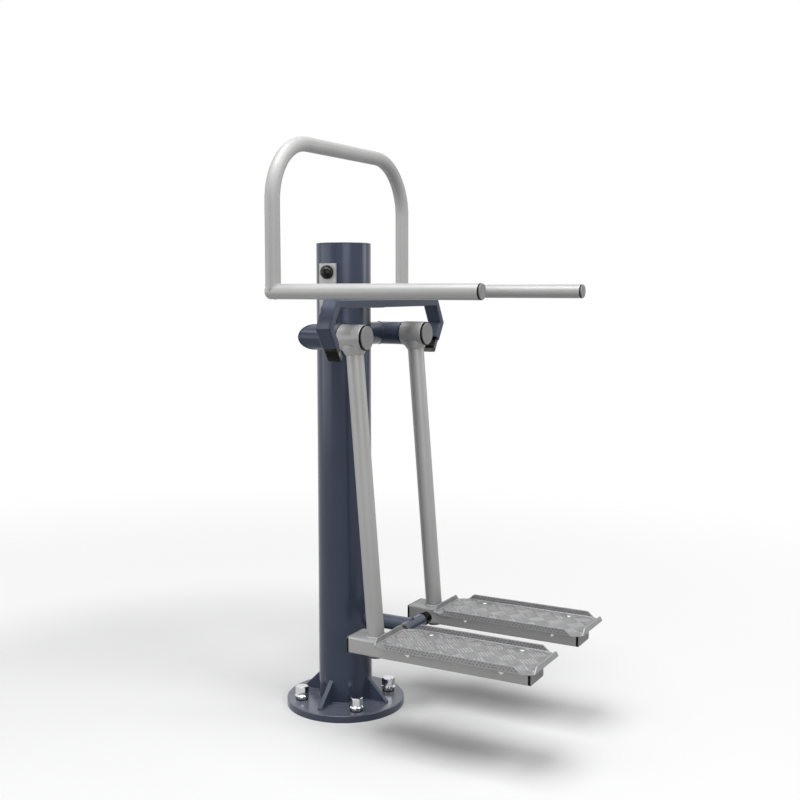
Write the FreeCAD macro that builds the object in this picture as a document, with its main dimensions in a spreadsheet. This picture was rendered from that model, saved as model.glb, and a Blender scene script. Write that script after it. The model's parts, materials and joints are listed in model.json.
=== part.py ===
import FreeCAD, Part
import math
import os
import Sketcher

# Outdoor adductor and abductor station: a flanged post carries two swinging foot arms, the two frames
# that stop them and a handle frame. Millimetres, +Z up. The user stands on the -Y side and faces +Y.
# The origin is on the post's axis at the ground, and the left side is -X.

SIZES = {
    # post and base
    "post_radius": 69.85, "post_wall": 4, "post_top": 1211, "post_cap_thickness": 5, "post_cap_round": 2,
    "flange_radius": 155, "flange_thickness": 18, "flange_chamfer": 1.5,
    "anchor_circle": 118, "anchor_hole_radius": 11,
    "gusset_thickness": 12, "gusset_reach": 127.5, "gusset_height": 60, "gusset_nose": 3,
    "anchor_washer_radius": 16, "anchor_washer_bore": 11.5, "anchor_washer_thickness": 3,
    "anchor_nut_flats": 30, "anchor_nut_height": 32.3, "anchor_nut_crown": 14, "anchor_nut_foot_radius": 15.5,
    "anchor_nut_collar_radius": 19, "anchor_nut_collar_low": 8, "anchor_nut_collar_high": 12,
    "anchor_nut_bore": 8.8, "anchor_nut_bore_depth": 28,
    # clearances: at welded and seated joints, between running faces, and around shafts
    "weld_gap": 0.1, "face_gap": 0.4, "running_gap": 0.05,
    # pivot carrier and hubs
    "pivot_x": 155, "pivot_z": 977.7, "carrier_radius": 30.15, "carrier_wall": 4, "carrier_offset": 15,
    "stub_front": 90, "axle_plug": 30, "axle_radius": 12.5, "axle_thread_radius": 10, "axle_thread": 9,
    "axle_washer_radius": 17.5, "axle_washer_thickness": 2.5, "axle_nut_flats": 30, "axle_nut_height": 6,
    "hub_radius": 31.75, "hub_bore": 26, "hub_length": 63.8, "hub_edge": 1.5,
    "hub_seal_thickness": 2, "hub_seal_radius": 30.9, "hub_gasket_thickness": 4,
    "hub_cap_thickness": 3, "hub_cap_radius": 28.3,
    "bearing_width": 15, "bearing_recess": 2.6, "bearing_span": 50,
    "bearing_shield_inner": 16.5, "bearing_shield_outer": 21.5, "bearing_shield_depth": 0.8,
    # swing arms
    "arm_radius": 21.2, "arm_wall": 3, "arm_lean": 4.73, "arm_tail": 7,
    "neck_length": 59, "neck_width": 52, "neck_corner": 24, "neck_radius": 22.5,
    "neck_top": 12, "neck_shoulder": 28, "neck_foot": 40,
    "arm_plug_depth": 12, "arm_plug_lip": 4,
    # foot beams
    "beam_width": 80, "beam_height": 40, "beam_wall": 3, "beam_corner": 5,
    "beam_top": 250, "beam_rear": 130.3,
    "beam_seal": 5, "beam_cap": 1, "beam_cap_inset": 1.5,
    # tread trays and their fixings
    "tread_width": 175, "tread_length": 410, "tread_gap": 14.3, "tread_overhang": 23.4,
    "tread_thickness": 3, "tread_height": 17,
    "side_lip_length": 357, "side_lip_slope": 17.5, "end_lip_length": 144, "end_lip_slope": 14,
    "lip_bend": 2.5, "lip_heel": 2.4,
    "tread_bolt_x": 60, "tread_bolt_inset": 86, "tread_bolt_pitch": 239, "tread_bolt_radius": 4,
    "tread_hole_radius": 4.5, "tread_head_radius": 7.5, "tread_head_height": 4, "tread_head_round": 2.8,
    "tread_nut_flats": 13, "tread_nut_height": 6.5, "tread_bolt_tail": 3,
    "cleat_thickness": 5, "cleat_length": 40, "cleat_reach": 34,
    # outer stop frame
    "bracket_depth": 40, "bracket_thickness": 20, "bracket_wall": 2.5, "bracket_corner": 4,
    "bracket_y": 123, "bracket_z": 1059.4, "bracket_shoulder": 250, "bracket_bend_x": 281,
    "bracket_bend_z": 1003, "bracket_lean": 31.8, "bracket_leg": 49.4, "bracket_stem_width": 60,
    "bumper_length": 40, "bumper_round": 3.5, "bumper_plug": 15,
    # inner stop
    "stop_drop": 13.6, "stop_gap": 3.15, "stop_stem_radius": 19, "stop_stem_wall": 3,
    "stop_bar_radius": 16.85, "stop_bar_wall": 3, "stop_bar_half": 56,
    "stop_bumper": 26, "stop_bumper_round": 9, "stop_bumper_plug": 14,
    # handle frame
    "bar_radius": 18, "bar_wall": 2.5, "bar_x": 310, "bar_z": 1088.6, "bar_rear": 17, "bar_front": 530,
    "bar_seal": 3, "bar_cap": 3, "bar_cap_inset": 1, "bar_edge": 10, "bar_end_wall": 11, "bar_plug": 12,
    "hoop_top": 1441.8, "hoop_bend": 145, "handle_stub_radius": 16.85, "handle_stub_wall": 2.6,
    "plate_width": 48, "plate_height": 140, "plate_thickness": 6, "pad_thickness": 2,
    "handle_bolt_pitch": 96, "handle_bolt_radius": 6, "handle_hole_radius": 6.5, "handle_bolt_reach": 14,
    "handle_head_flats": 18, "handle_head_height": 7.5, "handle_washer_radius": 12,
    "handle_washer_thickness": 2, "cover_radius": 17.5, "cover_skirt": 2, "cover_wall": 2.5,
}

SIDES = {"left": -1, "right": 1}
CORNERS = ((1, 1), (-1, 1), (-1, -1), (1, -1))
HEX_CORNER = 1 / math.sqrt(3)
X_AXIS = FreeCAD.Vector(1, 0, 0)
Y_AXIS = FreeCAD.Vector(0, 1, 0)
TURNS = {
    "X": FreeCAD.Rotation(Y_AXIS, 90),
    "-X": FreeCAD.Rotation(Y_AXIS, -90),
    "Y": FreeCAD.Rotation(X_AXIS, -90),
    "-Y": FreeCAD.Rotation(X_AXIS, 90),
    "Z": FreeCAD.Rotation(),
    "-Z": FreeCAD.Rotation(X_AXIS, 180),
}


class Size:
    """A number together with the spreadsheet formula that it comes from."""

    def __init__(self, number, text):
        self.number = number
        self.text = text

    def __add__(self, other):
        other = as_size(other)
        return Size(self.number + other.number, f"({self.text} + {other.text})")

    def __sub__(self, other):
        other = as_size(other)
        return Size(self.number - other.number, f"({self.text} - {other.text})")

    def __mul__(self, other):
        other = as_size(other)
        return Size(self.number * other.number, f"({self.text} * {other.text})")

    def __radd__(self, other):
        return as_size(other) + self

    def __rsub__(self, other):
        return as_size(other) - self

    def __rmul__(self, other):
        return as_size(other) * self

    def __truediv__(self, other):
        other = as_size(other)
        return Size(self.number / other.number, f"({self.text} / {other.text})")

    def __neg__(self):
        return -1 * self


def as_size(value):
    return value if isinstance(value, Size) else Size(float(value), f"({float(value)})")


def sine(angle):
    return Size(math.sin(math.radians(angle.number)), f"sin({angle.text})")


def cosine(angle):
    return Size(math.cos(math.radians(angle.number)), f"cos({angle.text})")


def make_sheet():
    """Write the driving dimensions to a spreadsheet, and return them by name."""
    sheet = doc.addObject("Spreadsheet::Sheet", "Sizes")
    named = {}
    for row, (alias, value) in enumerate(SIZES.items(), 1):
        sheet.set(f"A{row}", alias)
        sheet.set(f"B{row}", str(value))
        sheet.setAlias(f"B{row}", alias)
        named[alias] = Size(float(value), f"Sizes.{alias}")
    doc.recompute()
    return named


def bind(thing, prop, size):
    thing.setExpression(prop, as_size(size).text)


def place(thing, at, along="Z"):
    """Lay a thing's own Z axis along a direction, with its origin at three bound coordinates."""
    thing.Placement = FreeCAD.Placement(FreeCAD.Vector(*(as_size(c).number for c in at)), TURNS[along])
    for axis, size in zip("xyz", at):
        bind(thing, f"Placement.Base.{axis}", size)
    return thing


def turn(thing, axis, angle):
    """Turn a placed thing about one axis by a bound angle."""
    thing.Placement = FreeCAD.Placement(thing.Placement.Base, FreeCAD.Rotation(axis, angle.number))
    bind(thing, "Placement.Rotation.Angle", angle)
    return thing


def cylinder(radius, length, at=(0, 0, 0), along="Z"):
    thing = doc.addObject("Part::Cylinder", "Rod")
    bind(thing, "Radius", radius)
    bind(thing, "Height", length)
    return place(thing, at, along)


def cone(bottom, top, length, at=(0, 0, 0), along="Z"):
    thing = doc.addObject("Part::Cone", "Cone")
    bind(thing, "Radius1", bottom)
    bind(thing, "Radius2", top)
    bind(thing, "Height", length)
    return place(thing, at, along)


def box(length, width, height, at):
    """A block centred on its place in X and Y, standing on its place in Z."""
    thing = doc.addObject("Part::Box", "Block")
    bind(thing, "Length", length)
    bind(thing, "Width", width)
    bind(thing, "Height", height)
    return place(thing, (at[0] - as_size(length) / 2, at[1] - as_size(width) / 2, at[2]))


def hexagon(flats, height, at, along="Z"):
    thing = doc.addObject("Part::Prism", "Hexagon")
    bind(thing, "Circumradius", flats * HEX_CORNER)
    bind(thing, "Height", height)
    return place(thing, at, along)


def cut(base, *tools):
    for tool in tools:
        step = doc.addObject("Part::Cut", "Cut")
        step.Base = base
        step.Tool = tool
        base = step
    return base


def fuse(*pieces):
    whole = doc.addObject("Part::MultiFuse", "Union")
    whole.Shapes = list(pieces)
    return whole


def common(first, second):
    shared = doc.addObject("Part::Common", "Shared")
    shared.Base = first
    shared.Tool = second
    return shared


def group(pieces):
    """Keep separate solids together as one node."""
    together = doc.addObject("Part::Compound", "Group")
    together.Links = list(pieces)
    return together


def ring(outer, inner, length, at=(0, 0, 0), along="Z"):
    return cut(cylinder(outer, length, at, along), cylinder(inner, length, at, along))


def new_sketch(body, role):
    sketch = body.newObject("Sketcher::SketchObject", "Sketch")
    plane = next(item for item in body.Origin.OriginFeatures if item.Role == role)
    sketch.AttachmentSupport = [(plane, "")]
    sketch.MapMode = "FlatFace"
    return sketch


def raised_sketch(body, height):
    """A level sketch at a height above the body's origin."""
    sketch = new_sketch(body, "XY_Plane")
    bind(sketch, "AttachmentOffset.Base.z", height)
    return sketch


def fix(sketch, kind, *target, size):
    """Add one constraint whose value is bound to a size."""
    index = sketch.addConstraint(Sketcher.Constraint(kind, *target, size.number))
    sketch.setExpression(f"Constraints[{index}]", size.text)


def fix_point(sketch, geometry, end, point):
    for kind, coordinate in zip(("DistanceX", "DistanceY"), point):
        fix(sketch, kind, geometry, end, size=as_size(coordinate))


def vector(point):
    return FreeCAD.Vector(*(as_size(coordinate).number for coordinate in point), 0)


def draw_circle(sketch, radius, centre=(0, 0)):
    circle = Part.Circle(vector(centre), FreeCAD.Vector(0, 0, 1), as_size(radius).number)
    index = sketch.addGeometry(circle)
    fix_point(sketch, index, 3, centre)
    fix(sketch, "Radius", index, size=as_size(radius))


def draw_lines(sketch, points, closed=True):
    """Draw straight lines through points, each point bound to its two coordinates."""
    ends = points[1:] + points[:1] if closed else points[1:]
    first = sketch.GeometryCount
    for start, end in zip(points, ends):
        index = sketch.addGeometry(Part.LineSegment(vector(start), vector(end)))
        fix_point(sketch, index, 1, start)
    last = sketch.GeometryCount - 1
    for index in range(first, last):
        sketch.addConstraint(Sketcher.Constraint("Coincident", index, 2, index + 1, 1))
    if closed:
        sketch.addConstraint(Sketcher.Constraint("Coincident", last, 2, first, 1))
    else:
        fix_point(sketch, last, 2, points[-1])


def draw_arc(sketch, centre, start, end, radius, before, after):
    """Draw a counterclockwise arc that joins the end of one line to the start of another."""
    angles = (math.radians(start), math.radians(end))
    circle = Part.Circle(vector(centre), FreeCAD.Vector(0, 0, 1), radius.number)
    index = sketch.addGeometry(Part.ArcOfCircle(circle, *angles))
    sketch.addConstraint(Sketcher.Constraint("Coincident", index, 1, *before))
    sketch.addConstraint(Sketcher.Constraint("Coincident", index, 2, *after))
    fix(sketch, "DistanceY", index, 3, size=as_size(centre[1]))


def draw_rectangle(sketch, width, height, corner):
    """Draw a rectangle with rounded corners about the sketch's origin, counterclockwise from its base."""
    x, y = width / 2, height / 2
    flat_x, flat_y = x - corner, y - corner
    sides = (
        ((-flat_x, -y), (flat_x, -y)),
        ((x, -flat_y), (x, flat_y)),
        ((flat_x, y), (-flat_x, y)),
        ((-x, flat_y), (-x, -flat_y)),
    )
    first = sketch.GeometryCount
    for start, end in sides:
        index = sketch.addGeometry(Part.LineSegment(vector(start), vector(end)))
        fix_point(sketch, index, 1, start)
        fix_point(sketch, index, 2, end)
    middles = ((flat_x, -flat_y), (flat_x, flat_y), (-flat_x, flat_y), (-flat_x, -flat_y))
    for step, middle in enumerate(middles):
        start = 90 * step - 90
        following = first + (step + 1) % 4
        draw_arc(sketch, middle, start, start + 90, corner, (first + step, 2), (following, 1))


def pad(body, sketch, length, midplane=False):
    feature = body.newObject("PartDesign::Pad", "Pad")
    feature.Profile = sketch
    feature.Midplane = midplane
    bind(feature, "Length", length)
    sketch.Visibility = False
    return feature


def pocket(body, sketch):
    """Cut a profile right through a body, both ways from its sketch."""
    feature = body.newObject("PartDesign::Pocket", "Pocket")
    feature.Profile = sketch
    feature.Type = "ThroughAll"
    feature.Midplane = True
    sketch.Visibility = False
    return feature


def rim(shape, height):
    """Names of a shape's edges that lie at one height."""
    spans = enumerate((edge.BoundBox for edge in shape.Edges), 1)
    return [f"Edge{n}" for n, span in spans if max(abs(span.ZMin - height), abs(span.ZMax - height)) < 0.01]


def rounded_rod(radius, length, rounding, at, along="Z"):
    """A solid rod whose far rim is rounded."""
    body = doc.addObject("PartDesign::Body", "RoundedRod")
    profile = new_sketch(body, "XY_Plane")
    draw_circle(profile, radius)
    solid = pad(body, profile, length)
    doc.recompute()
    edge = body.newObject("PartDesign::Fillet", "Round")
    edge.Base = (solid, rim(solid.Shape, length.number))
    bind(edge, "Radius", rounding)
    return place(body, at, along)


def slab(width, height, corner, thickness, at, bore=None):
    """An upright plate in X and Z with rounded corners, padded towards -Y, with a bore if one is given."""
    body = doc.addObject("PartDesign::Body", "Slab")
    profile = new_sketch(body, "XZ_Plane")
    draw_rectangle(profile, width, height, corner)
    if bore is not None:
        draw_rectangle(profile, width - 2 * bore, height - 2 * bore, corner - bore)
    pad(body, profile, thickness)
    return place(body, at)


def node(name, thing):
    """Name a finished sub-part. Its label is also the name of its file."""
    thing.Label = name
    nodes.append(thing)


def anchor_places(height):
    reach = dim["anchor_circle"] * math.sqrt(0.5)
    return [(sx * reach, sy * reach, height) for sx, sy in CORNERS]


def base_flange():
    body = doc.addObject("PartDesign::Body", "Flange")
    disc = new_sketch(body, "XY_Plane")
    draw_circle(disc, dim["flange_radius"])
    pad(body, disc, dim["flange_thickness"])
    holes = new_sketch(body, "XY_Plane")
    for place_x, place_y, _ in anchor_places(0):
        draw_circle(holes, dim["anchor_hole_radius"], (place_x, place_y))
    drilled = pocket(body, holes)
    doc.recompute()
    edge = body.newObject("PartDesign::Chamfer", "Edge")
    names = rim(drilled.Shape, dim["flange_thickness"].number)
    widest = max(names, key=lambda name: drilled.Shape.getElement(name).Length)
    edge.Base = (drilled, [widest])
    bind(edge, "Size", dim["flange_chamfer"])
    node("base_flange", body)


def base_gussets():
    """Four ribs, each a triangle with a short nose, standing on the flange against the post."""
    low = dim["flange_thickness"]
    root = dim["post_radius"] + dim["weld_gap"]
    outline = [
        (root, low),
        (dim["gusset_reach"], low),
        (dim["gusset_reach"], low + dim["gusset_nose"]),
        (root, low + dim["gusset_height"]),
    ]
    ribs = []
    for quarter in range(4):
        body = doc.addObject("PartDesign::Body", "Gusset")
        profile = new_sketch(body, "XZ_Plane")
        draw_lines(profile, outline)
        pad(body, profile, dim["gusset_thickness"], midplane=True)
        body.Placement = FreeCAD.Placement(FreeCAD.Vector(), FreeCAD.Rotation(90 * quarter, 0, 0))
        ribs.append(body)
    node("base_gussets", group(ribs))


def post():
    low = dim["flange_thickness"]
    tall = dim["post_top"] - dim["post_cap_thickness"] - low
    tube = ring(dim["post_radius"], dim["post_radius"] - dim["post_wall"], tall, (0, 0, low))
    across = 4 * dim["post_radius"]
    carrier = cylinder(
        dim["carrier_radius"] + dim["weld_gap"], across,
        (-across / 2, -dim["carrier_offset"], dim["pivot_z"]), "X",
    )
    node("post_tube", cut(tube, carrier, *handle_bolt_holes()))
    lid = rounded_rod(
        dim["post_radius"], dim["post_cap_thickness"], dim["post_cap_round"],
        (0, 0, dim["post_top"] - dim["post_cap_thickness"]),
    )
    node("post_cap", lid)


def anchor_fixings():
    """Washers and closed nuts for the four ground anchors. The anchors stay with the ground."""
    top = dim["flange_thickness"]
    washers = [
        ring(dim["anchor_washer_radius"], dim["anchor_washer_bore"], dim["anchor_washer_thickness"], spot)
        for spot in anchor_places(top)
    ]
    node("anchor_washers", group(washers))
    seat = top + dim["anchor_washer_thickness"]
    node("anchor_cap_nuts", group(cap_nut(spot) for spot in anchor_places(seat)))


def cap_nut(spot):
    """A closed hexagon nut, chamfered at 30 degrees above, on a collar that narrows to a foot."""
    tall, collar = dim["anchor_nut_height"], dim["anchor_nut_collar_radius"]
    low, high = dim["anchor_nut_collar_low"], dim["anchor_nut_collar_high"]
    spread = dim["anchor_nut_crown"] + tall * math.sqrt(3)
    crowned = common(
        hexagon(dim["anchor_nut_flats"], tall, spot),
        cone(spread, dim["anchor_nut_crown"], tall, spot),
    )
    x, y, z = spot
    foot = cone(dim["anchor_nut_foot_radius"], collar, low, spot)
    bevel = cone(collar, dim["anchor_nut_flats"] / 2, high - low, (x, y, z + low))
    body = common(fuse(crowned, foot, bevel), cylinder(collar, tall, spot))
    return cut(body, cylinder(dim["anchor_nut_bore"], dim["anchor_nut_bore_depth"], spot))


def pivot_carrier():
    """A cross tube through the post, mitred at both ends to the stubs that point at the user."""
    radius, wall = dim["carrier_radius"], dim["carrier_wall"]
    far = 2 * radius
    body = doc.addObject("PartDesign::Body", "CrossTube")
    profile = new_sketch(body, "YZ_Plane")
    draw_circle(profile, radius)
    draw_circle(profile, radius - wall)
    pad(body, profile, 2 * (dim["pivot_x"] + far), midplane=True)
    for sign in SIDES.values():
        mitre = new_sketch(body, "XY_Plane")
        inside = sign * (dim["pivot_x"] - far)
        outside = sign * (dim["pivot_x"] + 2 * far)
        draw_lines(mitre, [(inside, -far), (outside, 2 * far), (outside, -far)])
        pocket(body, mitre)
    place(body, (0, -dim["carrier_offset"], dim["pivot_z"]))
    node("pivot_cross_tube", body)
    for side, sign in SIDES.items():
        pivot_stub(side, sign)


def pivot_stub(side, sign):
    radius, wall = dim["carrier_radius"], dim["carrier_wall"]
    far = 2 * radius
    length = dim["stub_front"] - dim["carrier_offset"]
    body = doc.addObject("PartDesign::Body", "Stub")
    profile = new_sketch(body, "XZ_Plane")
    draw_circle(profile, radius)
    draw_circle(profile, radius - wall)
    pad(body, profile, 2 * length, midplane=True)
    mitre = new_sketch(body, "XY_Plane")
    draw_lines(mitre, [(-sign * far, -far), (sign * 2 * length, 2 * length), (-sign * far, 2 * length)])
    pocket(body, mitre)
    place(body, (sign * dim["pivot_x"], -dim["carrier_offset"], dim["pivot_z"]))
    node(f"{side}_pivot_stub", body)


def axle_shoulder():
    """How far the axle's full diameter reaches from the stub: past both bearings, with a running face."""
    return dim["hub_seal_thickness"] + dim["bearing_recess"] + dim["bearing_span"] + 2 * dim["face_gap"]


def pivot_axle(side, sign):
    """A turned axle welded into the stub, with the washer and nut that hold the hub on it."""
    x, z = sign * dim["pivot_x"], dim["pivot_z"]
    front = dim["stub_front"]
    shoulder = front + axle_shoulder()
    plug_radius = dim["carrier_radius"] - dim["carrier_wall"] - dim["weld_gap"]
    plug = cylinder(plug_radius, dim["axle_plug"], (x, dim["axle_plug"] - front, z), "-Y")
    shaft = cylinder(dim["axle_radius"], axle_shoulder(), (x, -front, z), "-Y")
    thread = cylinder(dim["axle_thread_radius"], dim["axle_thread"], (x, -shoulder, z), "-Y")
    node(f"{side}_pivot_axle", fuse(plug, shaft, thread))
    bore = dim["axle_thread_radius"] + dim["weld_gap"]
    washer = ring(dim["axle_washer_radius"], bore, dim["axle_washer_thickness"], (x, -shoulder, z), "-Y")
    seat = (x, -shoulder - dim["axle_washer_thickness"], z)
    nut = cut(
        hexagon(dim["axle_nut_flats"], dim["axle_nut_height"], seat, "-Y"),
        cylinder(bore, dim["axle_nut_height"], seat, "-Y"),
    )
    node(f"{side}_axle_nut", group((washer, nut)))


def hub_rear():
    return dim["stub_front"] + dim["face_gap"] + dim["hub_seal_thickness"]


def hub(side, sign):
    """A sleeve on two bearings, sealed towards the stub and closed by a flat cap on a gasket."""
    x, z = sign * dim["pivot_x"], dim["pivot_z"]
    rear = hub_rear()
    front = rear + dim["hub_length"]
    body = doc.addObject("PartDesign::Body", "Hub")
    profile = new_sketch(body, "XZ_Plane")
    draw_circle(profile, dim["hub_radius"])
    draw_circle(profile, dim["hub_bore"])
    sleeve = pad(body, profile, dim["hub_length"])
    doc.recompute()
    edge = body.newObject("PartDesign::Chamfer", "Edge")
    edge.Base = (sleeve, outer_rims(sleeve.Shape, dim["hub_radius"].number))
    bind(edge, "Size", dim["hub_edge"])
    place(body, (x, -rear, z))
    node(f"{side}_hub_sleeve", body)

    first = rear + dim["bearing_recess"]
    starts = (first, first + dim["bearing_span"] - dim["bearing_width"])
    node(f"{side}_hub_bearings", group(bearing(x, start, z) for start in starts))
    seal = ring(
        dim["hub_seal_radius"], dim["axle_radius"] + dim["face_gap"], dim["hub_seal_thickness"],
        (x, dim["hub_seal_thickness"] - rear, z), "-Y",
    )
    node(f"{side}_hub_rear_seal", seal)
    gasket = ring(dim["hub_seal_radius"], dim["hub_bore"], dim["hub_gasket_thickness"], (x, -front, z), "-Y")
    node(f"{side}_hub_gasket", gasket)
    lid_y = -front - dim["hub_gasket_thickness"]
    thick = dim["hub_cap_thickness"]
    node(f"{side}_hub_cap", rounded_rod(dim["hub_cap_radius"], thick, thick / 4, (x, lid_y, z), "-Y"))


def bearing(x, start, z):
    """A sealed ball bearing: one ring with its shields set back between the inner and outer races."""
    width, depth = dim["bearing_width"], dim["bearing_shield_depth"]
    outside, bore = dim["hub_bore"] - dim["weld_gap"], dim["axle_radius"] + dim["running_gap"]
    races = ring(outside, bore, width, (x, -start, z), "-Y")
    shields = [
        ring(dim["bearing_shield_outer"], dim["bearing_shield_inner"], depth, (x, -y, z), "-Y")
        for y in (start, start + width - depth)
    ]
    return cut(races, *shields)


def outer_rims(shape, radius):
    """Names of a shape's round edges of one radius."""
    edges = enumerate(shape.Edges, 1)
    return [f"Edge{n}" for n, edge in edges if edge.Closed and abs(edge.Curve.Radius - radius) < 0.01]


def hub_middle():
    """How far forward the arm's axis meets the hub's axis."""
    return hub_rear() + dim["hub_length"] / 2


def arm_length():
    """From the hub's axis down the leaning arm, through the foot beam, to the arm's open foot."""
    drop = dim["pivot_z"] - dim["beam_top"] + dim["beam_height"] + dim["arm_tail"]
    return drop / cosine(dim["arm_lean"])


def tread_rear():
    """How far forward the tray starts: clear of the arm where the arm goes into the beam."""
    drop = dim["pivot_z"] - dim["beam_top"]
    reach = drop * sine(dim["arm_lean"]) + dim["arm_radius"]
    return hub_middle() + reach / cosine(dim["arm_lean"]) + dim["tread_gap"]


def beam_length():
    """From the beam's open rear end to its open front end, which stays back from the tray's front."""
    front = tread_rear() + dim["tread_length"] - dim["tread_overhang"] - dim["beam_seal"] - dim["beam_cap"]
    return front - dim["beam_rear"]


def along_arm(thing, sign):
    """Move a thing made on the Z axis to an arm: its origin on the pivot, its +Z down the leaning arm."""
    place(thing, (sign * dim["pivot_x"], -hub_middle(), dim["pivot_z"]))
    return turn(thing, X_AXIS, 180 - dim["arm_lean"])


def arm_neck():
    """The arm's flared neck, made on the Z axis: nearly as long as the hub above, and round at its foot."""
    body = doc.addObject("PartDesign::Body", "Neck")
    shoulder = raised_sketch(body, dim["neck_shoulder"])
    draw_rectangle(shoulder, dim["neck_width"], dim["neck_length"], dim["neck_corner"])
    foot = raised_sketch(body, dim["neck_foot"])
    radius = dim["neck_radius"]
    draw_rectangle(foot, 2 * radius, 2 * radius, radius - dim["weld_gap"])
    root = pad(body, shoulder, dim["neck_shoulder"] - dim["neck_top"])
    root.Reversed = True
    flare = body.newObject("PartDesign::AdditiveLoft", "Flare")
    flare.Profile = shoulder
    flare.Sections = [foot]
    flare.Ruled = True
    foot.Visibility = False
    return body


def swing_arm(side, sign):
    """A leaning tube coped and welded to the hub with a flared neck, running through the foot beam."""
    bore = dim["arm_radius"] - dim["arm_wall"]
    tube = cut(fuse(cylinder(dim["arm_radius"], arm_length()), arm_neck()), cylinder(bore, arm_length()))
    hub_space = cylinder(
        dim["hub_radius"] + dim["weld_gap"], 2 * dim["hub_length"],
        (sign * dim["pivot_x"], dim["hub_length"] - hub_middle(), dim["pivot_z"]), "-Y",
    )
    node(f"{side}_swing_arm", cut(along_arm(tube, sign), hub_space))
    foot = arm_length()
    plug = fuse(
        cylinder(bore - dim["weld_gap"], dim["arm_plug_depth"], (0, 0, foot - dim["arm_plug_depth"])),
        cylinder(bore + dim["arm_wall"] / 2, dim["arm_plug_lip"], (0, 0, foot)),
    )
    node(f"{side}_arm_plug", along_arm(plug, sign))


def foot_beam(side, sign):
    """A rectangular tube holed for the arm, with a seal and a flat cap on each end."""
    x = sign * dim["pivot_x"]
    middle = dim["beam_top"] - dim["beam_height"] / 2
    rear, length = dim["beam_rear"], beam_length()
    width, height, corner = dim["beam_width"], dim["beam_height"], dim["beam_corner"]
    tube = slab(width, height, corner, length, (x, -rear, middle), bore=dim["beam_wall"])
    hole = along_arm(cylinder(dim["arm_radius"] + dim["weld_gap"], 2 * arm_length()), sign)
    node(f"{side}_foot_beam", cut(tube, hole))
    seal, cap, inset = dim["beam_seal"], dim["beam_cap"], dim["beam_cap_inset"]
    seal_starts = (rear - seal, rear + length)
    seals = [slab(width, height, corner, seal, (x, -start, middle)) for start in seal_starts]
    node(f"{side}_beam_seals", group(seals))
    width, height, corner = width - 2 * inset, height - 2 * inset, corner - inset
    cap_starts = (rear - seal - cap, rear + length + seal)
    caps = [slab(width, height, corner, cap, (x, -start, middle)) for start in cap_starts]
    node(f"{side}_beam_caps", group(caps))


def tread_bolt_places(sign):
    x = sign * dim["pivot_x"]
    rear = tread_rear() + dim["tread_bolt_inset"]
    return [
        (x + across * dim["tread_bolt_x"], -y)
        for across in (-1, 1)
        for y in (rear, rear + dim["tread_bolt_pitch"])
    ]


def tread_tray(side, sign):
    """A tread plate folded up on four sides, notched at the corners, bolted to cleats on the beam."""
    half_width, half_length = dim["tread_width"] / 2, dim["tread_length"] / 2
    thick, tall = dim["tread_thickness"], dim["tread_height"]
    side_half, end_half = dim["side_lip_length"] / 2, dim["end_lip_length"] / 2
    body = doc.addObject("PartDesign::Body", "Tread")
    plate = new_sketch(body, "XY_Plane")
    quarter = [(half_width, side_half), (end_half, half_length)]
    back = quarter + [(-x, y) for x, y in quarter[::-1]]
    draw_lines(plate, back + [(-x, -y) for x, y in back])
    pad(body, plate, thick)
    lips = (
        ("YZ_Plane", side_half, half_width, dim["side_lip_slope"]),
        ("XZ_Plane", end_half, half_length, dim["end_lip_slope"]),
    )
    for role, half, reach, slope in lips:
        lip = new_sketch(body, role)
        short = half - slope
        draw_lines(lip, [(-half, 0), (half, 0), (half, thick), (short, tall), (-short, tall), (-half, thick)])
        pad(body, lip, 2 * reach, midplane=True)
    inside = raised_sketch(body, thick)
    x, y = half_width - thick, half_length - thick
    draw_lines(inside, [(-x, -y), (x, -y), (x, y), (-x, y)])
    hollow = body.newObject("PartDesign::Pocket", "Inside")
    hollow.Profile = inside
    hollow.Type = "ThroughAll"
    hollow.Reversed = True
    holes = new_sketch(body, "XY_Plane")
    for across, along in CORNERS:
        from_rear = dim["tread_bolt_inset"] + (1 - along) / 2 * dim["tread_bolt_pitch"]
        draw_circle(holes, dim["tread_hole_radius"], (across * dim["tread_bolt_x"], half_length - from_rear))
    pierced = pocket(body, holes)
    inner = round_folds(body, pierced, (x, y, thick), dim["lip_bend"])
    round_folds(body, inner, (half_width, half_length, as_size(0)), dim["lip_heel"])
    place(body, (sign * dim["pivot_x"], -tread_middle(), dim["beam_top"]))
    node(f"{side}_tread_plate", body)


def tread_middle():
    return tread_rear() + dim["tread_length"] / 2


def round_folds(body, base, line, rounding):
    """Round the four fold edges that lie at the given X, Y and height."""
    doc.recompute()
    x, y, height = (size.number for size in line)
    names = []
    for number, edge in enumerate(base.Shape.Edges, 1):
        middle = edge.CenterOfMass
        on_side = abs(abs(middle.x) - x) < 0.01 and abs(middle.y) < 0.01
        on_end = abs(abs(middle.y) - y) < 0.01 and abs(middle.x) < 0.01
        if abs(middle.z - height) < 0.01 and (on_side or on_end):
            names.append(f"Edge{number}")
    folds = body.newObject("PartDesign::Fillet", "Folds")
    folds.Base = (base, names)
    bind(folds, "Radius", rounding)
    return folds


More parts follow.
